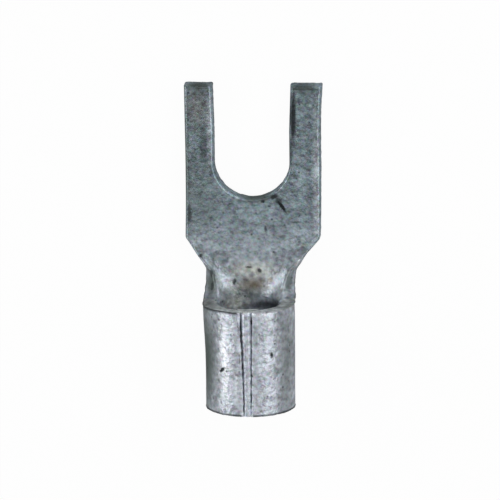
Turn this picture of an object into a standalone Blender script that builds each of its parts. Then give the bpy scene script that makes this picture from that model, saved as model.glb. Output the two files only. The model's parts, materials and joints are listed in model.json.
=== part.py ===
"""Fork terminal for 12-10 AWG (4-6 mm2) wire and a #10 (4.8 mm) screw.

One strip of copper is punched to a flat blank, its end is rolled up into the wire barrel,
and the barrel's butting edges are brazed together. The whole piece is then tinned, so it is
one solid. It is modelled in that order: punch, roll, braze.

Metres, +Z up. The terminal lies on the back of its barrel, its seam uppermost and its tines
towards +Y. The origin is on the surface that it lies on, midway along it, under the barrel's axis.
"""

from math import acos, ceil, cos, pi, radians, sin, tan

import bmesh
import bpy
from mathutils import Matrix, Vector

# Strip
STOCK = 0.00102
EDGE_ROLL = 0.00020  # the punch rolls over the edges of the face that it enters
EDGE_ROLL_STEPS = 3

# Wire barrel
BARREL_DIAMETER = 0.00584
BARREL_LENGTH = 0.00692
BARREL_FACETS = 76

# Grip grooves pressed across the strip before it is rolled, so they ring the bore
GROOVE_COUNT = 3
GROOVE_PITCH = 0.00150
GROOVE_WIDTH = 0.00050
GROOVE_DEPTH = 0.00012
FIRST_GROOVE = 0.00194  # from the wire end

# Seam: a gap between the strip's edges, filled with a low bead of brazing metal
SEAM_GAP_REAR = 0.00057  # at the wire end, measured on the outside of the barrel
SEAM_GAP_FRONT = 0.00076  # at the neck, where the strip springs open
SEAM_LIP = 0.00008  # the broken outer corner of each edge
SEAM_LIP_STEPS = 2
BEAD_STEPS = 8  # across the bead's crown
BEAD_CROWN = 0.00002  # how far the bead's middle lies under the barrel's surface
BEAD_SHOULDER = 0.00017  # how far the bead's sides lie under it
BEAD_INSIDE = 0.00012  # how far the bead stops short of the bore
BEAD_SHORT = 0.00010  # how far the bead stops short of each end of the barrel
BEAD_BITE = 0.00010  # how far the bead has run into the strip on each side

# Neck, between the barrel and the tongue
NECK_WIDTH = 0.00556
NECK_LENGTH = 0.00166  # the straight sides, from the barrel to the taper
NOTCH_RADIUS = 0.00100  # where the neck leaves the barrel
TAPER_RADIUS = 0.00060  # where the neck widens
TAPER_ANGLE = radians(36.5)  # of the widening sides, from the terminal's axis
ROLL_OUT = 0.00330  # from the barrel to where the strip is flat again
ROLL_OUT_POWER = 1.5  # over 1, as the trough runs out into the flat tongue without a crease
ROLL_OUT_ROWS = 14
ROLL_OUT_SPREAD = 1.5  # over 1, as the rows stand closest at the barrel, where the bend is sharpest
TONGUE_STEP = 0.00015  # the tongue's back stands this far above the barrel's

# Tongue with its open slot
OVERALL_LENGTH = 0.02095
TONGUE_WIDTH = 0.00880
SLOT_WIDTH = 0.00495
SLOT_DEPTH = 0.00756
MOUTH_WIDTH = 0.00512
MOUTH_LENGTH = 0.00300  # the slot opens out to its mouth over this length
CORNER_BLEND = 0.00008  # along each side of the corners of the shoulders and the tips
CORNER_STEPS = 2
ARC_STEP = radians(9)

SAME_PLACE = 1e-7  # points closer than this are one point
LEAST_CORNER = radians(5)  # a smaller turn of the outline is part of an arc
LEAST_SHARP = radians(35)  # faces that meet at less are shaded as one surface

BARREL_RADIUS = BARREL_DIAMETER / 2
MIDDLE_RADIUS = BARREL_RADIUS - STOCK / 2  # of the strip's middle layer in the barrel
REAR_EDGE = MIDDLE_RADIUS * (pi - SEAM_GAP_REAR / 2 / BARREL_RADIUS)  # half the blank's width
FRONT_EDGE = MIDDLE_RADIUS * (pi - SEAM_GAP_FRONT / 2 / BARREL_RADIUS)  # the same, at the neck
TAPER_FOOT = BARREL_LENGTH + NECK_LENGTH
SHOULDER = TAPER_FOOT + (TONGUE_WIDTH - NECK_WIDTH) / 2 / tan(TAPER_ANGLE)
FLAT_FROM = BARREL_LENGTH + ROLL_OUT


def clear_scene():
    for obj in list(bpy.data.objects):
        bpy.data.objects.remove(obj)


def tinned_copper():
    material = bpy.data.materials.new("tinned_copper")
    material.use_nodes = True
    shader = material.node_tree.nodes["Principled BSDF"]
    shader.inputs["Base Color"].default_value = (0.42, 0.44, 0.46, 1)
    shader.inputs["Metallic"].default_value = 1
    shader.inputs["Roughness"].default_value = 0.42
    return material


def corner_points(before, corner, after, radius):
    """The corner of an outline, as an arc that touches both of its sides."""
    arriving = (corner - before).normalized()
    leaving = (after - corner).normalized()
    turn = acos(max(-1, min(1, arriving.dot(leaving))))
    if radius == 0 or turn == 0:
        return [corner]
    side = 1 if arriving.cross(leaving) > 0 else -1
    start = corner - arriving * radius * tan(turn / 2)
    centre = start + Vector((-arriving.y, arriving.x)) * radius * side
    steps = ceil(turn / ARC_STEP)
    spoke = start - centre
    return [centre + Matrix.Rotation(side * turn * i / steps, 2) @ spoke for i in range(steps + 1)]


def blank_outline():
    """The punched blank, flat: x across it, y along it from the wire end."""
    right = [
        (REAR_EDGE, 0, 0),
        (FRONT_EDGE, BARREL_LENGTH, 0),
        (NECK_WIDTH / 2, BARREL_LENGTH, NOTCH_RADIUS),
        (NECK_WIDTH / 2, TAPER_FOOT, TAPER_RADIUS),
        (TONGUE_WIDTH / 2, SHOULDER, 0),
        (TONGUE_WIDTH / 2, OVERALL_LENGTH, 0),
        (MOUTH_WIDTH / 2, OVERALL_LENGTH, 0),
        (SLOT_WIDTH / 2, OVERALL_LENGTH - MOUTH_LENGTH, 0),
        (SLOT_WIDTH / 2, OVERALL_LENGTH - SLOT_DEPTH, SLOT_WIDTH / 2),
    ]
    corners = right + [(-x, y, radius) for x, y, radius in reversed(right)]
    places = [Vector((x, y)) for x, y, radius in corners]
    outline = []
    for i, place in enumerate(places):
        after = places[(i + 1) % len(places)]
        for point in corner_points(places[i - 1], place, after, corners[i][2]):
            # The two arcs of the slot's root meet on the axis, in one point.
            if not outline or (point - outline[-1]).length > SAME_PLACE:
                outline.append(point)
    return outline


def punch_blank():
    """The flat blank, its back on z = 0 and the edges of its upper face rolled over."""
    blank = bmesh.new()
    face = blank.faces.new([blank.verts.new((p.x, p.y, 0)) for p in blank_outline()])
    raised = bmesh.ops.extrude_face_region(blank, geom=[face])["geom"]
    upper = [v for v in raised if isinstance(v, bmesh.types.BMVert)]
    bmesh.ops.translate(blank, vec=(0, 0, STOCK), verts=upper)
    bmesh.ops.recalc_face_normals(blank, faces=blank.faces[:])

    def bevel(edges, width, steps):
        bmesh.ops.bevel(
            blank, geom=edges, offset=width, segments=steps, profile=0.5,
            affect="EDGES", material=-1,
        )

    def lies_at(edge, height):
        return all(abs(v.co.z - height) < SAME_PLACE for v in edge.verts)

    def on_seam(edge):
        first, second = (v.co.x for v in edge.verts)
        one_side = first * second > 0
        return one_side and min(abs(first), abs(second)) > FRONT_EDGE - SAME_PLACE

    def on_corner(edge):
        first, second = (v.co for v in edge.verts)
        upright = abs(first.z - second.z) > SAME_PLACE
        in_tongue = min(first.y, second.y) > FLAT_FROM
        corner = edge.is_convex and edge.calc_face_angle() > LEAST_CORNER
        return upright and in_tongue and corner

    bevel([e for e in blank.edges if lies_at(e, 0) and on_seam(e)], SEAM_LIP, SEAM_LIP_STEPS)
    bevel([e for e in blank.edges if lies_at(e, STOCK)], EDGE_ROLL, EDGE_ROLL_STEPS)
    bevel([e for e in blank.edges if on_corner(e)], CORNER_BLEND, CORNER_STEPS)
    return blank


def slice_blank(blank, place, across, keep):
    """Cuts the faces that pass the test along one plane, so that the blank can bend there."""
    faces = [f for f in blank.faces if keep(f)]
    edges = {e for f in faces for e in f.edges}
    verts = {v for f in faces for v in f.verts}
    bmesh.ops.bisect_plane(
        blank, geom=[*faces, *edges, *verts], dist=SAME_PLACE, plane_co=place, plane_no=across,
    )


def add_bending_lines(blank):
    """Rows across the neck and the grooves, and columns along the neck and the barrel."""

    def everywhere(face):
        return True

    def bends(face):
        return face.calc_center_median().y < FLAT_FROM

    def in_bore(face):
        lowest = min(v.co.z for v in face.verts)
        return lowest > STOCK - SAME_PLACE and face.calc_center_median().y < BARREL_LENGTH

    for row in range(ROLL_OUT_ROWS + 1):
        y = BARREL_LENGTH + ROLL_OUT * (row / ROLL_OUT_ROWS) ** ROLL_OUT_SPREAD
        slice_blank(blank, (0, y, 0), (0, 1, 0), everywhere)

    for groove in groove_places():
        for y in (groove - GROOVE_WIDTH / 2, groove, groove + GROOVE_WIDTH / 2):
            slice_blank(blank, (0, y, 0), (0, 1, 0), in_bore)

    # Columns keep clear of the rolled edges, which have lines of their own.
    spacing = 2 * FRONT_EDGE / BARREL_FACETS
    for inner, outer in ((0, NECK_WIDTH / 2 - EDGE_ROLL), (NECK_WIDTH / 2, FRONT_EDGE - EDGE_ROLL)):
        columns = ceil((outer - inner) / spacing)
        for column in range(columns + 1):
            x = inner + (outer - inner) * column / columns
            for side in (-x, x):
                slice_blank(blank, (side, 0, 0), (1, 0, 0), bends)


def groove_places():
    return [FIRST_GROOVE + GROOVE_PITCH * i for i in range(GROOVE_COUNT)]


def rolled(point):
    """Where a point of the flat blank goes when the strip is rolled up and its tongue set up."""
    across, along, height = point
    out = max(0, min(1, (along - BARREL_LENGTH) / ROLL_OUT))
    middle = STOCK / 2 + TONGUE_STEP * out * out * (3 - 2 * out)
    inward = height - STOCK / 2
    if out == 1:
        return Vector((across, along, middle + inward))
    radius = MIDDLE_RADIUS / (1 - out) ** ROLL_OUT_POWER
    angle = across / radius
    rise = 2 * radius * sin(angle / 2) ** 2  # of the middle layer, towards the edges
    return Vector(((radius - inward) * sin(angle), along, middle + rise + inward * cos(angle)))


def press_and_roll(blank):
    for vert in blank.verts:
        in_groove = any(abs(vert.co.y - y) < SAME_PLACE for y in groove_places())
        if in_groove and vert.co.z > STOCK - SAME_PLACE:
            vert.co.z -= GROOVE_DEPTH
        vert.co = rolled(vert.co)


def new_object(name, mesh_in_progress, material=None):
    mesh = bpy.data.meshes.new(name)
    mesh_in_progress.to_mesh(mesh)
    mesh_in_progress.free()
    obj = bpy.data.objects.new(name, mesh)
    bpy.context.scene.collection.objects.link(obj)
    if material:
        mesh.materials.append(material)
    return obj


def braze_bead():
    """The filler in the seam: a low crowned bead that has run into both edges of the strip."""
    half_width = SEAM_GAP_REAR / 2 + BEAD_BITE
    widening = (SEAM_GAP_FRONT / 2 + BEAD_BITE) / half_width
    curve = (BEAD_SHOULDER - BEAD_CROWN) / (SEAM_GAP_REAR / 2) ** 2  # the crown is a parabola
    floor = BARREL_RADIUS - STOCK + BEAD_INSIDE
    section = [(-half_width, floor), (half_width, floor)]
    for i in range(BEAD_STEPS + 1):
        x = half_width * (1 - 2 * i / BEAD_STEPS)
        section.append((x, BARREL_RADIUS - BEAD_CROWN - curve * x * x))
    bead = bmesh.new()
    verts = [bead.verts.new((x, BEAD_SHORT, BARREL_RADIUS + z)) for x, z in section]
    raised = bmesh.ops.extrude_face_region(bead, geom=[bead.faces.new(verts)])["geom"]
    front = [v for v in raised if isinstance(v, bmesh.types.BMVert)]
    bmesh.ops.translate(bead, vec=(0, BARREL_LENGTH - 2 * BEAD_SHORT, 0), verts=front)
    bmesh.ops.scale(bead, vec=(widening, 1, 1), verts=front)
    bmesh.ops.recalc_face_normals(bead, faces=bead.faces[:])
    return new_object("braze_bead", bead)


def fork_terminal():
    blank = punch_blank()
    add_bending_lines(blank)
    press_and_roll(blank)
    terminal = new_object("fork_terminal", blank, tinned_copper())

    bead = braze_bead()
    bead.hide_render = True
    bead.display_type = "WIRE"
    braze = terminal.modifiers.new("braze", "BOOLEAN")
    braze.operation = "UNION"
    braze.solver = "EXACT"
    braze.object = bead

    to_middle = Matrix.Translation((0, -OVERALL_LENGTH / 2, 0))
    for obj in (terminal, bead):
        obj.data.transform(to_middle)
    terminal.data.shade_smooth()
    terminal.data.set_sharp_from_angle(angle=LEAST_SHARP)
    return terminal


clear_scene()
fork_terminal()
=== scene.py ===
"""The looks of a non-insulated fork terminal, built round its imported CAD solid.

Metres, +Z up. The terminal lies on the back of its wire barrel, tines towards +Y, seam uppermost.
"""

import json
from math import ceil, cos, exp, pi, radians, sin, sqrt, tan

import bmesh
import bpy
from mathutils import Euler, Matrix, Vector, noise
from mathutils.bvhtree import BVHTree


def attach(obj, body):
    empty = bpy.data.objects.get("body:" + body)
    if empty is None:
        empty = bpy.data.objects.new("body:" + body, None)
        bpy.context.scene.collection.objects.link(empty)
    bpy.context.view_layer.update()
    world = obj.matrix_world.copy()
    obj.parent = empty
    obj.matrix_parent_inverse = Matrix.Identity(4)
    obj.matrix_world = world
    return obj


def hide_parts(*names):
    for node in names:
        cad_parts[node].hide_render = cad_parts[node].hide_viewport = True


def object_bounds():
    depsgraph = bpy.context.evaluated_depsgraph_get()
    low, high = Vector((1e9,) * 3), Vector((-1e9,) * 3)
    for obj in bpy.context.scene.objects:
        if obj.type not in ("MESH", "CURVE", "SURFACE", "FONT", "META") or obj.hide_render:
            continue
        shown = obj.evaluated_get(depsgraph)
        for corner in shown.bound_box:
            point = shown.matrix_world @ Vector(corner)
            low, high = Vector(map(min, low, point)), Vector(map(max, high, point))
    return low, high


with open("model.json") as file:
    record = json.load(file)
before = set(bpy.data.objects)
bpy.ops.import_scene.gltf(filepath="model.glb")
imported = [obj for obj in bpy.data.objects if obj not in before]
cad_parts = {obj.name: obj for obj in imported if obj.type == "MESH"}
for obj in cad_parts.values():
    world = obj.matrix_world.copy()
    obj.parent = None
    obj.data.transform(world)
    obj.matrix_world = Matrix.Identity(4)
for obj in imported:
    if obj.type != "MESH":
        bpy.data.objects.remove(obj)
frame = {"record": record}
cad_low, cad_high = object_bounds()

# --------------------------------------------------------------------------------------------------
# The blank. One strip of soft copper, punched out flat. The punch rolls over the edges of the face
# that it enters, shears a smooth band under them and tears the rest, which ends in a fine burr.
# --------------------------------------------------------------------------------------------------

MM = 0.001
MOUNTS = {mount["name"]: Vector(mount["pos_m"]) for mount in frame["record"]["mounts"]}
TONGUE_STEP = MOUNTS["tongue_back"].z
STOCK = MOUNTS["tongue_front"].z - TONGUE_STEP
LENGTH = cad_high.y - cad_low.y
TONGUE_WIDTH = cad_high.x - cad_low.x

BARREL_RADIUS = 2.92 * MM
BARREL_LENGTH = 6.92 * MM
SEAM_GAP_REAR = 0.57 * MM
SEAM_GAP_FRONT = 0.76 * MM
NECK_WIDTH = 5.56 * MM
NECK_LENGTH = 1.66 * MM
NOTCH_RADIUS = 1.00 * MM
TAPER_RADIUS = 0.60 * MM
TAPER_ANGLE = radians(36.5)
SLOT_WIDTH = 4.95 * MM
SLOT_DEPTH = 7.56 * MM
MOUTH_WIDTH = 5.12 * MM
MOUTH_LENGTH = 3.00 * MM
ROLL_OUT = 3.30 * MM
ROLL_OUT_POWER = 1.5

MIDDLE_RADIUS = BARREL_RADIUS - STOCK / 2
REAR_EDGE = MIDDLE_RADIUS * (pi - SEAM_GAP_REAR / 2 / BARREL_RADIUS)
FRONT_EDGE = MIDDLE_RADIUS * (pi - SEAM_GAP_FRONT / 2 / BARREL_RADIUS)
TAPER_FOOT = BARREL_LENGTH + NECK_LENGTH
SHOULDER = TAPER_FOOT + (TONGUE_WIDTH - NECK_WIDTH) / 2 / tan(TAPER_ANGLE)
FLAT_FROM = BARREL_LENGTH + ROLL_OUT
SLOT_ROOT = LENGTH - SLOT_DEPTH

# Its edges.
DIE_ROLL = 0.20 * MM
DIE_ROLL_STEPS = 5
SEAM_LIP = 0.09 * MM
SEAM_LIP_STEPS = 4
CORNER_BLEND = 0.08 * MM
CORNER_STEPS = 3
LEAST_CORNER = radians(5)
TORN_BELOW = 0.5 * STOCK
TORN_STEPS = 5
TORN_OUT = 0.03 * MM
TORN_GRAIN = 0.25 * MM
BURR = 0.03 * MM

# The torn part stands out by a share of TORN_OUT that swings about its mean with the metal's grain,
# and reaches it within a third of the tear.
TORN_MEAN = 0.6
TORN_SWING = 0.8
TORN_STEEPNESS = 3

# The net of lines that lets it bend, with one close to each end.
GRID = 0.14 * MM
EDGE_LINE = 0.07 * MM
NEAR_EDGE = 1.5 * EDGE_LINE
SAME_PLACE = 0.0001 * MM

# The most that the normal of a cut edge leans up or down.
UPRIGHT = 0.1

# How dirty its edges are, how strong the painted shade at its ends is and how pale the painted light
# makes the rim's end face, from 0 to 1.
BURR_DIRT = 0.9
TORN_DIRT = 0.05
END_SHADE = 0.8
RIM_PAINTED_LIGHT = 0.6


def bevel(mesh, parts, width, steps, affect="EDGES"):
    bmesh.ops.bevel(
        mesh, geom=parts, offset=width, segments=steps, profile=0.5, affect=affect, material=-1,
        clamp_overlap=False,
    )


def cut(mesh, place, across):
    bmesh.ops.bisect_plane(
        mesh, geom=mesh.verts[:] + mesh.edges[:] + mesh.faces[:], dist=SAME_PLACE,
        plane_co=place, plane_no=across,
    )


def at_height(edge, height):
    return all(abs(v.co.z - height) < SAME_PLACE for v in edge.verts)


blank = bmesh.new()
half_outline = [
    (0, 0),
    (REAR_EDGE, 0),
    (FRONT_EDGE, BARREL_LENGTH),
    (NECK_WIDTH / 2, BARREL_LENGTH),
    (NECK_WIDTH / 2, TAPER_FOOT),
    (TONGUE_WIDTH / 2, SHOULDER),
    (TONGUE_WIDTH / 2, LENGTH),
    (MOUTH_WIDTH / 2, LENGTH),
    (SLOT_WIDTH / 2, LENGTH - MOUTH_LENGTH),
    (SLOT_WIDTH / 2, SLOT_ROOT),
    (0, SLOT_ROOT),
]
corners = {place: blank.verts.new((*place, 0)) for place in half_outline}
blank.faces.new(corners.values())
for place, side, steps in (
    ((NECK_WIDTH / 2, BARREL_LENGTH), NOTCH_RADIUS, 12),
    ((NECK_WIDTH / 2, TAPER_FOOT), TAPER_RADIUS * tan(TAPER_ANGLE / 2), 6),
    ((SLOT_WIDTH / 2, SLOT_ROOT), SLOT_WIDTH / 2, 24),
):
    bevel(blank, [corners[place]], side, steps, "VERTICES")
everything = blank.faces[:] + blank.edges[:] + blank.verts[:]
bmesh.ops.mirror(blank, geom=everything, axis="X", merge_dist=SAME_PLACE)
bmesh.ops.remove_doubles(blank, verts=blank.verts, dist=SAME_PLACE)
middle_line = [e for e in blank.edges if all(abs(v.co.x) < SAME_PLACE for v in e.verts)]
bmesh.ops.dissolve_edges(blank, edges=middle_line)

raised = bmesh.ops.extrude_face_region(blank, geom=blank.faces[:])["geom"]
upper = [v for v in raised if isinstance(v, bmesh.types.BMVert)]
bmesh.ops.translate(blank, vec=(0, 0, STOCK), verts=upper)
bmesh.ops.recalc_face_normals(blank, faces=blank.faces[:])


def on_seam(edge):
    first, second = (v.co.x for v in edge.verts)
    return first * second > 0 and min(abs(first), abs(second)) > FRONT_EDGE - SAME_PLACE


def on_corner(edge):
    first, second = (v.co for v in edge.verts)
    upright = abs(first.z - second.z) > SAME_PLACE
    in_tongue = min(first.y, second.y) > FLAT_FROM
    return upright and in_tongue and edge.is_convex and edge.calc_face_angle() > LEAST_CORNER


seam_edges = [e for e in blank.edges if at_height(e, 0) and on_seam(e)]
bevel(blank, seam_edges, SEAM_LIP, SEAM_LIP_STEPS)
bevel(blank, [e for e in blank.edges if at_height(e, STOCK)], DIE_ROLL, DIE_ROLL_STEPS)
bevel(blank, [e for e in blank.edges if on_corner(e)], CORNER_BLEND, CORNER_STEPS)

for layer in range(1, TORN_STEPS + 1):
    cut(blank, (0, 0, TORN_BELOW * layer / TORN_STEPS), (0, 0, 1))
for y in (EDGE_LINE, BARREL_LENGTH - EDGE_LINE, LENGTH - EDGE_LINE):
    cut(blank, (0, y, 0), (0, 1, 0))
for row in range(1, ceil(LENGTH / GRID)):
    cut(blank, (0, row * GRID, 0), (0, 1, 0))
for column in range(ceil(REAR_EDGE / GRID)):
    for side in {-column, column}:
        cut(blank, (side * GRID, 0, 0), (1, 0, 0))

# Dirt packs into the torn part of the edges and most of all along the burr. The barrel's rim end is
# made paler as painted light, and painted shade darkens its outside under the rim's left half and at
# the wire end.
dirt_and_shade = blank.verts.layers.float.new("dirt_and_shade")
painted_light = blank.verts.layers.float.new("painted_light")
for vert in blank.verts:
    walls = [f.normal for f in vert.link_faces if abs(f.normal.z) < UPRIGHT]
    at_rim = abs(vert.co.y - BARREL_LENGTH) < NEAR_EDGE and abs(vert.co.x) > NECK_WIDTH / 2
    if walls and at_rim:
        # Painted light on the rim's end face.
        vert[painted_light] = RIM_PAINTED_LIGHT
    if walls and vert.co.z < TORN_BELOW:
        on_burr = vert.co.z < SAME_PLACE
        vert[dirt_and_shade] = BURR_DIRT if on_burr and not at_rim else TORN_DIRT
        torn = 1 - vert.co.z / TORN_BELOW
        rough = TORN_MEAN + TORN_SWING * noise.noise(vert.co / TORN_GRAIN)
        outward = sum(walls, Vector()).normalized()
        vert.co += outward * TORN_OUT * rough * min(1, TORN_STEEPNESS * torn)
        if on_burr:
            vert.co.z -= BURR * max(0, rough)
    under_rim = at_rim and vert.co.x < 0
    at_wire_end = vert.co.y < NEAR_EDGE
    if vert.co.z < SAME_PLACE and (under_rim or at_wire_end):
        # Painted shade under the rim's left half and at the wire end.
        vert[dirt_and_shade] = END_SHADE

# --------------------------------------------------------------------------------------------------
# The roll. The blank's wide end is curled up over a mandrel until its edges nearly meet, and the
# sheet between it and the tongue springs open over the neck. The strip keeps its thickness.
# --------------------------------------------------------------------------------------------------

TO_MIDDLE = Vector((0, -LENGTH / 2, 0))


def rolled(point):
    """Where a point of the flat blank comes to lie: out is 0 in the barrel and 1 in the tongue."""
    across, along, height = point
    out = max(0, min(1, (along - BARREL_LENGTH) / ROLL_OUT))
    middle = STOCK / 2 + TONGUE_STEP * out * out * (3 - 2 * out)
    inward = height - STOCK / 2
    if out == 1:
        return Vector((across, along, middle + inward))
    radius = MIDDLE_RADIUS / (1 - out) ** ROLL_OUT_POWER
    angle = across / radius
    rise = 2 * radius * sin(angle / 2) ** 2
    return Vector(((radius - inward) * sin(angle), along, middle + rise + inward * cos(angle)))


for vert in blank.verts:
    vert.co = rolled(vert.co) + TO_MIDDLE

# Where the real one is out of true after years in a box: a place, its reach and the push, in mm.
STRAYS = (
    ((-4.4, 5.0, 1.0), (1.0, 6.0, 3.0), (0.09, 0.0, 0.0)),
    ((4.4, 4.5, 1.0), (1.0, 6.0, 3.0), (0.10, 0.0, 0.0)),
    ((4.4, 11.0, 1.0), (1.0, 2.0, 3.0), (0.18, 0.0, 0.0)),
    ((0.0, -0.9, 1.0), (6.0, 0.7, 3.0), (-0.10, 0.0, 0.0)),
    ((0.0, -2.6, 1.0), (6.0, 1.1, 3.0), (-0.12, 0.0, 0.0)),
    ((-3.0, -4.0, 3.2), (1.2, 2.2, 1.8), (-0.14, -0.10, 0.0)),
    ((-0.45, -4.4, 5.8), (0.5, 2.4, 1.0), (-0.13, 0.0, 0.0)),
)

# The sheet isn't quite even either: the size and the height of its waves.
WAVES = ((2.6 * MM, 0.012 * MM), (0.45 * MM, 0.003 * MM))


def strayed(point):
    moved = point.copy()
    for place, reach, push in STRAYS:
        away = sum(((p / MM - q) / r) ** 2 for p, q, r in zip(point, place, reach))
        moved += Vector(push) * MM * exp(-away)
    return moved


for vert in blank.verts:
    vert.co = strayed(vert.co)
bmesh.ops.recalc_face_normals(blank, faces=blank.faces[:])
blank.normal_update()
uneven = {}
for vert in blank.verts:
    wave = sum(height * noise.noise(vert.co / size) for size, height in WAVES)
    uneven[vert] = vert.normal * wave
for vert, shift in uneven.items():
    vert.co += shift


# --------------------------------------------------------------------------------------------------
# Its finish: matte electroplated tin, some thousandths of a millimetre thick, gone grey with age.
# The eye sees a dull blue-grey metal, finely mottled, duller on the tongue, with dirt in its pits.
# --------------------------------------------------------------------------------------------------


def linear(code):
    """An sRGB colour written in hex, as the linear values that a shader takes."""
    parts = [int(code[i:i + 2], 16) / 255 for i in (1, 3, 5)]
    return (*(c / 12.92 if c <= 0.04045 else ((c + 0.055) / 1.055) ** 2.4 for c in parts), 1)


def add(tree, kind, inputs=None, output=None, **settings):
    """Adds a node with its settings, values and links, and returns the output asked for."""
    node = tree.nodes.new(kind)
    for name, value in settings.items():
        setattr(node, name, value)
    for name, value in (inputs or {}).items():
        socket = next(
            s for i, s in enumerate(node.inputs) if s.enabled and (i == name or s.name == name)
        )
        if isinstance(value, bpy.types.NodeSocket):
            tree.links.new(value, socket)
        else:
            socket.default_value = value
    return next((s for s in node.outputs if s.enabled and output in (None, s.name)), None)


BARREL_TIN = linear("#c2c8d1")
TONGUE_TIN = linear("#94a3ab")
# Painted light.
PAINTED_LIGHT_TIN = linear("#dcdfd8")
# Painted highlights.
HIGHLIGHT_TIN = linear("#e4e8ee")
# Painted shade and other darkening.
DARKENING_GREY = linear("#606b66")
FLUX = linear("#a58d72")
# Dirt, and painted shade.
DIRT_AND_SHADE_GREY = linear("#303436")

# The tin is darker from the barrel towards the tongue.
BRIGHT_UNTIL = -4.5 * MM
DULL_FROM = 2.0 * MM

# Each mark's place, x and y, half its length and half its width in mm, its turn in degrees and its
# strength from 0 to 1. First the pits and the scratch, then dirt and painted shade along the tines,
# and painted shade in the seam's groove.
SPOTS_AND_EDGE_SHADE = (
    (2.02, 2.57, 0.78, 0.17, -56, 1.0),
    (1.84, 2.88, 0.42, 0.26, -56, 0.8),
    (1.55, 3.18, 0.38, 0.24, 20, 0.85),
    (0.81, 2.86, 0.20, 0.15, 0, 0.8),
    (1.24, 2.54, 0.16, 0.14, 0, 0.8),
    (-4.02, 1.95, 0.22, 0.80, 0, 0.7),
    (-2.43, 1.86, 0.09, 0.07, 0, 0.7),
    (-2.01, 1.30, 0.10, 0.08, 30, 0.7),
    (0.45, 1.83, 0.09, 0.07, 0, 0.6),
    (0.97, 1.00, 0.14, 0.32, 8, 0.6),
    (3.00, 1.48, 0.44, 0.09, 5, 0.6),
    (-1.72, 0.63, 0.09, 0.08, 0, 0.6),
    (3.18, 0.15, 0.16, 0.12, 0, 0.65),
    (1.48, -0.54, 0.12, 0.10, 0, 0.7),
    (-3.30, -0.80, 0.24, 0.17, 30, 0.8),
    (-0.14, -1.58, 0.32, 0.10, 0, 0.75),
    (0.58, -1.80, 0.24, 0.18, -30, 0.85),
    (-1.10, -2.56, 0.16, 0.32, -12, 0.85),
    (-2.58, -1.95, 0.14, 0.36, 0, 0.7),
    (-2.50, -2.75, 0.15, 0.42, -8, 0.7),
    (3.22, 9.31, 0.11, 0.09, 0, 0.7),
    (3.86, 8.13, 0.12, 0.09, 0, 0.7),
    (3.01, 5.28, 0.14, 0.12, 0, 0.6),
    (3.40, 4.85, 0.10, 0.09, 0, 0.6),
    (-3.87, 8.10, 0.14, 0.10, -30, 0.8),
    (-3.05, 6.60, 0.36, 1.80, 2, 0.45),
    (2.78, 8.50, 0.28, 2.40, 0, 0.9),
    (2.62, 6.30, 0.18, 2.00, 0, 0.7),
    (2.90, 9.77, 0.13, 0.14, 0, 0.6),
    (4.20, 9.87, 0.10, 0.12, 0, 0.7),
    (-3.30, 10.00, 0.45, 0.50, 0, 0.35),
    (-1.60, -7.42, 0.38, 0.17, 48, 1.0),
    (1.61, -6.37, 0.16, 0.30, 0, 1.0),
    (0.36, -7.67, 0.10, 0.13, 0, 0.9),
    (2.07, -8.98, 0.12, 0.10, 0, 0.5),
    (0.36, -4.15, 0.08, 0.28, 0, 0.85),
    (-0.50, -4.60, 0.06, 0.70, 4, 0.7),
    (-0.42, -6.60, 0.05, 0.50, 0, 0.6),
)
# Darker at the ends of the tines.
TIP_DARKENING = (
    (3.42, 10.40, 1.30, 0.24, 0, 0.60),
    (-3.40, 10.42, 1.30, 0.22, 0, 0.50),
)
# Painted shadow on the bore's floor just inside the barrel's mouth, and painted light on the bore's
# floor beside it.
MOUTH_SHADOW = ((1.20, -4.10, 3.10, 0.50, 8, 0.88),)
MOUTH_PAINTED_LIGHT = ((-1.10, -4.00, 1.90, 0.80, 0, 0.90),)
# Burnt flux, left by the brazing, and a tinge of it on the left tine.
FLUX_STAINS = (
    (0.05, -2.80, 1.20, 0.62, 0, 0.62),
    (1.20, -2.45, 0.30, 0.30, 0, 0.60),
    (2.60, -8.54, 0.16, 0.14, 0, 0.50),
    (-3.50, 9.00, 2.40, 1.00, 90, 0.22),
)
# Painted shade along the barrel's flanks, on the neck's wings, along the left tine's outer edge and
# along the slot's root; darker on the tongue's left, at the ends of the tines and on the neck by the
# rim.
SHADE_AND_DARKENING_MARKS = (
    (-2.75, -7.00, 5.50, 1.25, 90, 0.95),
    (2.48, -7.00, 5.50, 0.55, 90, 0.60),
    (-2.60, -2.60, 1.80, 0.80, 90, 0.95),
    (2.38, -2.60, 1.50, 0.40, 80, 0.80),
    (-3.80, 3.00, 4.50, 2.40, 80, 0.40),
    (-4.24, 5.00, 7.00, 0.28, 90, 0.80),
    (-3.40, 10.40, 1.40, 0.35, 0, 0.90),
    (3.40, 10.30, 1.40, 0.30, 0, 0.90),
    (0.40, 2.96, 2.30, 0.32, 8, 0.85),
    (-0.90, -3.40, 2.60, 0.85, 0, 0.50),
)
# Painted light on the neck, where the tin is made matt as well.
NECK_PAINTED_LIGHT = (
    (0.00, -1.90, 2.20, 1.00, 0, 0.85),
    (-0.30, -3.00, 2.20, 0.80, 0, 0.65),
)
# Painted highlights: on the barrel's left, along the left tine's inner edge and the right tine's
# outer edge, on the rim, on the right taper's edge and beside the seam.
PAINTED_HIGHLIGHTS = (
    (-1.55, -7.00, 4.40, 0.60, 90, 0.90),
    (-2.72, 7.40, 3.60, 0.25, 90, 0.35),
    (4.22, 4.50, 7.00, 0.26, 90, 0.45),
    (1.00, -3.62, 1.50, 0.20, 2, 0.95),
    (3.05, -1.30, 0.85, 0.24, 60, 0.95),
    (-0.66, -8.60, 1.90, 0.17, 90, 0.90),
)
# The heights in mm from which a mark is dropped on to the strip.
ABOVE = 10.0
IN_THE_MOUTH = 3.0

# Marks fade out from their middles: the large ones softly, the small ones from this share of their
# size, with an edge that wanders by as much as SHAKE.
SOFTNESS = 1.1
FULL_WITHIN = 0.40
SHAKE = 0.12 * MM

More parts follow.
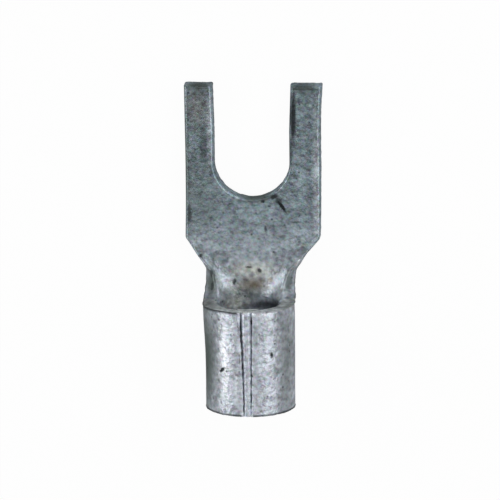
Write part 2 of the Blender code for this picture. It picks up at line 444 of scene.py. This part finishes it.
skin = BVHTree.FromBMesh(blank)


def dropped(x, y, height):
    """The point of the strip's surface that lies under a place given in mm."""
    return skin.ray_cast(Vector((x, y, height)) * MM, Vector((0, 0, -1)))[0]


def weather(name, places, height):
    """Stores in an attribute how strongly each vertex is marked, from 0 to 1."""
    layers = blank.verts.layers.float
    level = layers.get(name) or layers.new(name)
    for x, y, long_half, wide_half, turn, strength in places:
        reach = Vector((long_half, wide_half, max(long_half, wide_half))) * MM
        turned = Euler((0, 0, radians(turn)))
        to_mark = Matrix.LocRotScale(dropped(x, y, height), turned, reach).inverted()
        for vert in blank.verts:
            near = min(1, max(0, SOFTNESS * (1 - (to_mark @ vert.co).length)))
            vert[level] = max(vert[level], strength * near * near * (3 - 2 * near))


# Painted shadow and painted light in the bore's mouth, darkening at the tines' ends, painted light
# on the neck, painted highlights, flux stains, and painted shade with other darkening.
weather("dirt_and_shade", MOUTH_SHADOW, IN_THE_MOUTH)
weather("dirt_and_shade", TIP_DARKENING, ABOVE)
weather("painted_light", MOUTH_PAINTED_LIGHT, IN_THE_MOUTH)
weather("painted_light", NECK_PAINTED_LIGHT, ABOVE)
weather("painted_highlight", PAINTED_HIGHLIGHTS, ABOVE)
weather("flux", FLUX_STAINS, ABOVE)
weather("shade_and_darkening", SHADE_AND_DARKENING_MARKS, ABOVE)


def spotted(tree, at, places):
    """How strongly each point is marked, from 0 to 1, by small marks with a fairly sharp edge."""
    strongest = 0.0
    for x, y, long_half, wide_half, turn, strength in places:
        local = add(
            tree, "ShaderNodeMapping",
            {
                "Vector": at,
                "Location": dropped(x, y, ABOVE),
                "Rotation": (0, 0, radians(turn)),
                "Scale": (long_half * MM, wide_half * MM, max(long_half, wide_half) * MM),
            },
            vector_type="TEXTURE",
        )
        away = add(tree, "ShaderNodeVectorMath", {"Vector": local}, "Value", operation="LENGTH")
        level = add(
            tree, "ShaderNodeMapRange",
            {
                "Value": away, "From Min": 1.0, "From Max": FULL_WITHIN,
                "To Min": 0.0, "To Max": strength,
            },
            interpolation_type="SMOOTHSTEP",
        )
        strongest = add(tree, "ShaderNodeMath", {0: level, 1: strongest}, operation="MAXIMUM")
    return strongest


# The plate's own mottling: the sizes of its clouds, its blotches and the play of colour in its
# oxide film. Pits are about 0.15 mm across and two to a millimetre, and the matt grit is finer
# still on a real one, where it wouldn't show.
CLOUD = 1.4 * MM
BLOTCH = 0.34 * MM
FILM = 0.20 * MM
FILM_STRENGTH = 0.50
PIT_SPACING = 0.45 * MM
PIT_DIRT = 0.8
GRIT = 0.22 * MM
GRIT_DEPTH = 0.042 * MM
ROUGHER_UNDER_PAINTED_LIGHT = 0.20
# Most of a noise lies between these values.
LOW, HIGH = 0.30, 0.70

tin = bpy.data.materials.new("matte_tin_plate")
tin.use_nodes = True
tree = tin.node_tree
shader = tree.nodes["Principled BSDF"]
at = add(tree, "ShaderNodeTexCoord", output="Object")

# Darker from the barrel to the tongue, then paler by painted light and brighter by painted
# highlights in places.
along = add(tree, "ShaderNodeSeparateXYZ", {"Vector": at}, "Y")
towards_tongue = add(
    tree, "ShaderNodeMapRange",
    {"Value": along, "From Min": BRIGHT_UNTIL, "From Max": DULL_FROM},
)
tone = add(
    tree, "ShaderNodeMix", {"Factor": towards_tongue, "A": BARREL_TIN, "B": TONGUE_TIN}, data_type="RGBA",
)
# Painted light on the rim's end, in the bore's mouth and on the neck.
painted_light_level = add(tree, "ShaderNodeAttribute", output="Fac", attribute_name="painted_light")
painted_lighter = add(tree, "ShaderNodeMix", {"Factor": painted_light_level, "A": tone, "B": PAINTED_LIGHT_TIN}, data_type="RGBA")
# Painted highlights.
painted_highlight_level = add(tree, "ShaderNodeAttribute", output="Fac", attribute_name="painted_highlight")
painted_highlight = add(
    tree, "ShaderNodeMix", {"Factor": painted_highlight_level, "A": painted_lighter, "B": HIGHLIGHT_TIN}, data_type="RGBA",
)

# Mottled.
cloud = add(tree, "ShaderNodeTexNoise", {"Vector": at, "Scale": 1 / CLOUD, "Detail": 1})
clouded = add(
    tree, "ShaderNodeMapRange",
    {"Value": cloud, "From Min": LOW, "From Max": HIGH, "To Min": 0.86, "To Max": 1.14},
)
blotch = add(tree, "ShaderNodeTexNoise", {"Vector": at, "Scale": 1 / BLOTCH, "Detail": 2})
blotched = add(
    tree, "ShaderNodeMapRange",
    {"Value": blotch, "From Min": LOW, "From Max": HIGH, "To Min": 0.62, "To Max": 1.36},
)
mottled = painted_highlight
for layer in (clouded, blotched):
    mottled = add(
        tree, "ShaderNodeMix", {"Factor": 1.0, "A": mottled, "B": layer},
        data_type="RGBA", blend_type="MULTIPLY",
    )
film = add(tree, "ShaderNodeTexNoise", {"Vector": at, "Scale": 1 / FILM, "Detail": 1}, "Color")
tinted = add(
    tree, "ShaderNodeMix", {"Factor": FILM_STRENGTH, "A": mottled, "B": film},
    data_type="RGBA", blend_type="SOFT_LIGHT",
)

# Flux stains, then painted shade and other darkening.
flux = add(tree, "ShaderNodeAttribute", output="Fac", attribute_name="flux")
burnt = add(tree, "ShaderNodeMix", {"Factor": flux, "A": tinted, "B": FLUX}, data_type="RGBA")
shade_and_darkening = add(tree, "ShaderNodeAttribute", output="Fac", attribute_name="shade_and_darkening")
darkened = add(tree, "ShaderNodeMix", {"Factor": shade_and_darkening, "A": burnt, "B": DARKENING_GREY}, data_type="RGBA")

# Darkened: by dirt along the sheared edges and in the fuller half of the pits, by painted shade at
# the barrel's ends, in the seam's grooves and in the bore's mouth, at the tines' ends, and by the
# marks, which are dirt and painted shade.
dirt_and_shade_level = add(tree, "ShaderNodeAttribute", output="Fac", attribute_name="dirt_and_shade")
pit = add(tree, "ShaderNodeTexVoronoi", {"Vector": at, "Scale": 1 / PIT_SPACING}, "Distance")
fullness = add(tree, "ShaderNodeSeparateXYZ", {"Vector": pit.node.outputs["Color"]}, "X")
round_pit = add(
    tree, "ShaderNodeMapRange",
    {"Value": pit, "From Min": 0.26, "From Max": 0.08, "To Min": 0.0, "To Max": PIT_DIRT},
    interpolation_type="SMOOTHSTEP",
)
full = add(tree, "ShaderNodeMapRange", {"Value": fullness, "From Min": 0.50, "From Max": 1.00})
pits = add(tree, "ShaderNodeMath", {0: round_pit, 1: full}, operation="MULTIPLY")
shaking = add(tree, "ShaderNodeTexNoise", {"Vector": at, "Scale": 1 / SHAKE, "Detail": 1}, "Color")
ragged = add(
    tree, "ShaderNodeVectorMath", {0: shaking, 1: (SHAKE,) * 3, 2: at}, operation="MULTIPLY_ADD",
)
all_dirt_and_shade = 0.0
for layer in (dirt_and_shade_level, pits, spotted(tree, ragged, SPOTS_AND_EDGE_SHADE)):
    all_dirt_and_shade = add(tree, "ShaderNodeMath", {0: layer, 1: all_dirt_and_shade}, operation="MAXIMUM")
colour = add(tree, "ShaderNodeMix", {"Factor": all_dirt_and_shade, "A": darkened, "B": DIRT_AND_SHADE_GREY}, data_type="RGBA")
tree.links.new(colour, shader.inputs["Base Color"])

# Its oxide film and dust hide about a fifth of the metal.
shader.inputs["Metallic"].default_value = 0.80
shader.inputs["Specular Tint"].default_value = linear("#a0a0a0")
roughness = add(
    tree, "ShaderNodeMapRange",
    {"Value": blotch, "From Min": LOW, "From Max": HIGH, "To Min": 0.34, "To Max": 0.44},
)
matt = add(
    tree, "ShaderNodeMath", {0: painted_light_level, 1: ROUGHER_UNDER_PAINTED_LIGHT, 2: roughness},
    operation="MULTIPLY_ADD",
)
tree.links.new(matt, shader.inputs["Roughness"])
grit = add(tree, "ShaderNodeTexNoise", {"Vector": at, "Scale": 1 / GRIT, "Detail": 2})
bump = add(tree, "ShaderNodeBump", {"Strength": 1.0, "Distance": GRIT_DEPTH, "Height": grit})
tree.links.new(bump, shader.inputs["Normal"])


def new_piece(name, shape, material, sharp_from):
    mesh = bpy.data.meshes.new(name)
    shape.to_mesh(mesh)
    mesh.materials.append(material)
    mesh.shade_smooth()
    mesh.set_sharp_from_angle(angle=sharp_from)
    piece = bpy.data.objects.new(name, mesh)
    bpy.context.scene.collection.objects.link(piece)
    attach(piece, "root")
    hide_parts("fork_terminal")
    return piece


new_piece("tinned_strip", blank, tin, sharp_from=radians(32))

# --------------------------------------------------------------------------------------------------
# The seam. The barrel's butting edges are joined by a bead of silver brazing metal, drawn into the
# gap and tinned over with the rest. It stands a little low between the strip's broken corners.
# --------------------------------------------------------------------------------------------------

BEAD_BITE = 0.10 * MM
BEAD_CROWN = 0.02 * MM
BEAD_SHOULDER = 0.21 * MM
BEAD_THICK = 0.92 * MM
BEAD_PAST_END = 0.02 * MM
BEAD_WAVE = 0.5 * MM
BEAD_UNEVEN = 0.012 * MM
BORE_RADIUS = BARREL_RADIUS - STOCK
BORE_SPREAD = 1.5

# Painted shade darkens its grooves from these shares of its half width outwards, in patches along
# it.
LEFT_SHADE_FROM = 0.32
RIGHT_SHADE_FROM = 0.48
SHADE_RISE = 2.5
SHADE_PATCHES = 12
MEAN_SHADE = 0.8
AT_END = 0.001

# It starts as a flat grid: across is -1 to 1 and along is 0 at the wire end, 1 at the mouth.
bead = bmesh.new()
bmesh.ops.create_grid(bead, x_segments=16, y_segments=90, size=0.5)
bead_painted_light = bead.verts.layers.float.new("painted_light")
bead_groove_shade = bead.verts.layers.float.new("dirt_and_shade")
half_rear = SEAM_GAP_REAR / 2 + BEAD_BITE
half_front = SEAM_GAP_FRONT / 2 + BEAD_BITE
for vert in bead.verts:
    across, along = vert.co.x * 2, vert.co.y + 0.5
    half_width = half_rear + (half_front - half_rear) * along
    drop = BEAD_CROWN + (BEAD_SHOULDER - BEAD_CROWN) * (across * half_width * 2 / SEAM_GAP_REAR) ** 2
    vert.co = TO_MIDDLE + Vector((
        across * half_width,
        along * (BARREL_LENGTH + 2 * BEAD_PAST_END) - BEAD_PAST_END,
        2 * BARREL_RADIUS - drop,
    ))
    # At the mouth its end gets the rim's painted light; elsewhere painted shade darkens the grooves.
    if along > 1 - AT_END:
        vert[bead_painted_light] = RIM_PAINTED_LIGHT
    elif along > AT_END:
        patchy = MEAN_SHADE + noise.noise(Vector((across, 0, SHADE_PATCHES * along)))
        shade_from = LEFT_SHADE_FROM if across < 0 else RIGHT_SHADE_FROM
        vert[bead_groove_shade] = patchy * min(1, max(0, SHADE_RISE * (abs(across) - shade_from)))
bmesh.ops.solidify(bead, geom=bead.faces[:], thickness=BEAD_THICK)
bmesh.ops.recalc_face_normals(bead, faces=bead.faces[:])

# Its lower side spreads into the strip and follows the bore's arc.
for vert in bead.verts:
    if vert.co.z < 2 * BARREL_RADIUS - BEAD_THICK / 2:
        vert.co.x *= BORE_SPREAD
        vert.co.z = BARREL_RADIUS + sqrt(BORE_RADIUS ** 2 - vert.co.x ** 2)
    vert.co.z += BEAD_UNEVEN * noise.noise(vert.co / BEAD_WAVE)
    vert.co = strayed(vert.co)
new_piece("seam_braze", bead, tin, sharp_from=radians(40))

# --------------------------------------------------------------------------------------------------
# The studio. The terminal lies on a white board under soft boxes on its left, its right and above.
# Weaker ones past its tips and its wire end keep its cut edges out of the dark.
# --------------------------------------------------------------------------------------------------

BOARD_HALF = 0.6

board = bmesh.new()
bmesh.ops.create_grid(board, x_segments=1, y_segments=1, size=BOARD_HALF)
board_mesh = bpy.data.meshes.new("board")
board.to_mesh(board_mesh)
board_piece = bpy.data.objects.new("board", board_mesh)
bpy.context.scene.collection.objects.link(board_piece)

# White paper. The camera sees it almost evenly white, with a trace of the object's shadow, and the
# metal sees a little of that white and otherwise the lit paper.
WHITE = linear("#f6f6f6")
EVEN_TO_CAMERA = 0.96
EVEN_TO_METAL = 0.10
paper = bpy.data.materials.new("white_paper")
paper.use_nodes = True
tree = paper.node_tree
tree.nodes.clear()
camera_ray = add(tree, "ShaderNodeLightPath", output="Is Camera Ray")
evenness = add(tree, "ShaderNodeMath", {0: camera_ray, 1: EVEN_TO_CAMERA}, operation="MULTIPLY")
for kind in ("Is Glossy Ray", "Is Transmission Ray"):
    evenness = add(
        tree, "ShaderNodeMath",
        {0: camera_ray.node.outputs[kind], 1: EVEN_TO_METAL, 2: evenness},
        operation="MULTIPLY_ADD",
    )
lit = add(tree, "ShaderNodeBsdfDiffuse", {"Color": WHITE})
even = add(tree, "ShaderNodeEmission", {"Strength": 1.0})
sheet = add(tree, "ShaderNodeMixShader", {0: evenness, 1: lit, 2: even})
add(tree, "ShaderNodeOutputMaterial", {"Surface": sheet})
board_mesh.materials.append(paper)

# Past the board the camera sees white as well. The room itself gives little light.
ROOM_LIGHT = 0.08
world = bpy.data.worlds.new("studio")
world.use_nodes = True
tree = world.node_tree
camera_ray = add(tree, "ShaderNodeLightPath", output="Is Camera Ray")
strength = add(
    tree, "ShaderNodeMath", {0: camera_ray, 1: 1 - ROOM_LIGHT, 2: ROOM_LIGHT},
    operation="MULTIPLY_ADD",
)
sky = tree.nodes["Background"]
sky.inputs["Color"].default_value = (1, 1, 1, 1)
tree.links.new(strength, sky.inputs["Strength"])
bpy.context.scene.world = world

# Each lamp's name, its place in mm, its width and height in mm and its power in watts. All of them
# face the terminal.
LAMPS = (
    ("left", (-91, 10, 57), 130, 45, 0.049),
    ("right", (81, 10, 71), 130, 62, 0.048),
    ("above", (-3, -15, 38), 34, 16, 0.0020),
    ("front", (10, 70, 75), 100, 40, 0.018),
    ("tips", (38, 92, 33), 60, 30, 0.018),
    ("wire_end", (0, -95, 50), 80, 40, 0.020),
)
for name, place, width, height, power in LAMPS:
    light = bpy.data.lights.new(name, "AREA")
    light.shape = "RECTANGLE"
    light.size = width * MM
    light.size_y = height * MM
    light.energy = power
    lamp = bpy.data.objects.new(name, light)
    lamp.location = Vector(place) * MM
    lamp.rotation_euler = Vector(place).to_track_quat("Z", "Y").to_euler()
    bpy.context.scene.collection.objects.link(lamp)

# Where the photograph was taken from: above, a little to the right and towards the tips.
CAMERA_PLACE = Vector((19.410, 59.004, 250.542)) * MM
CAMERA_TURN = Euler((radians(-13.4071), radians(4.3799), radians(-0.4118)))
CAMERA_LENS = 283.17
camera = bpy.data.objects.new("camera", bpy.data.cameras.new("camera"))
camera.location = CAMERA_PLACE
camera.rotation_euler = CAMERA_TURN
camera.data.lens = CAMERA_LENS
camera.data.sensor_width = 36
camera.data.clip_start = 0.01
bpy.context.scene.collection.objects.link(camera)
bpy.context.scene.camera = camera
bpy.context.scene.view_settings.view_transform = "Standard"
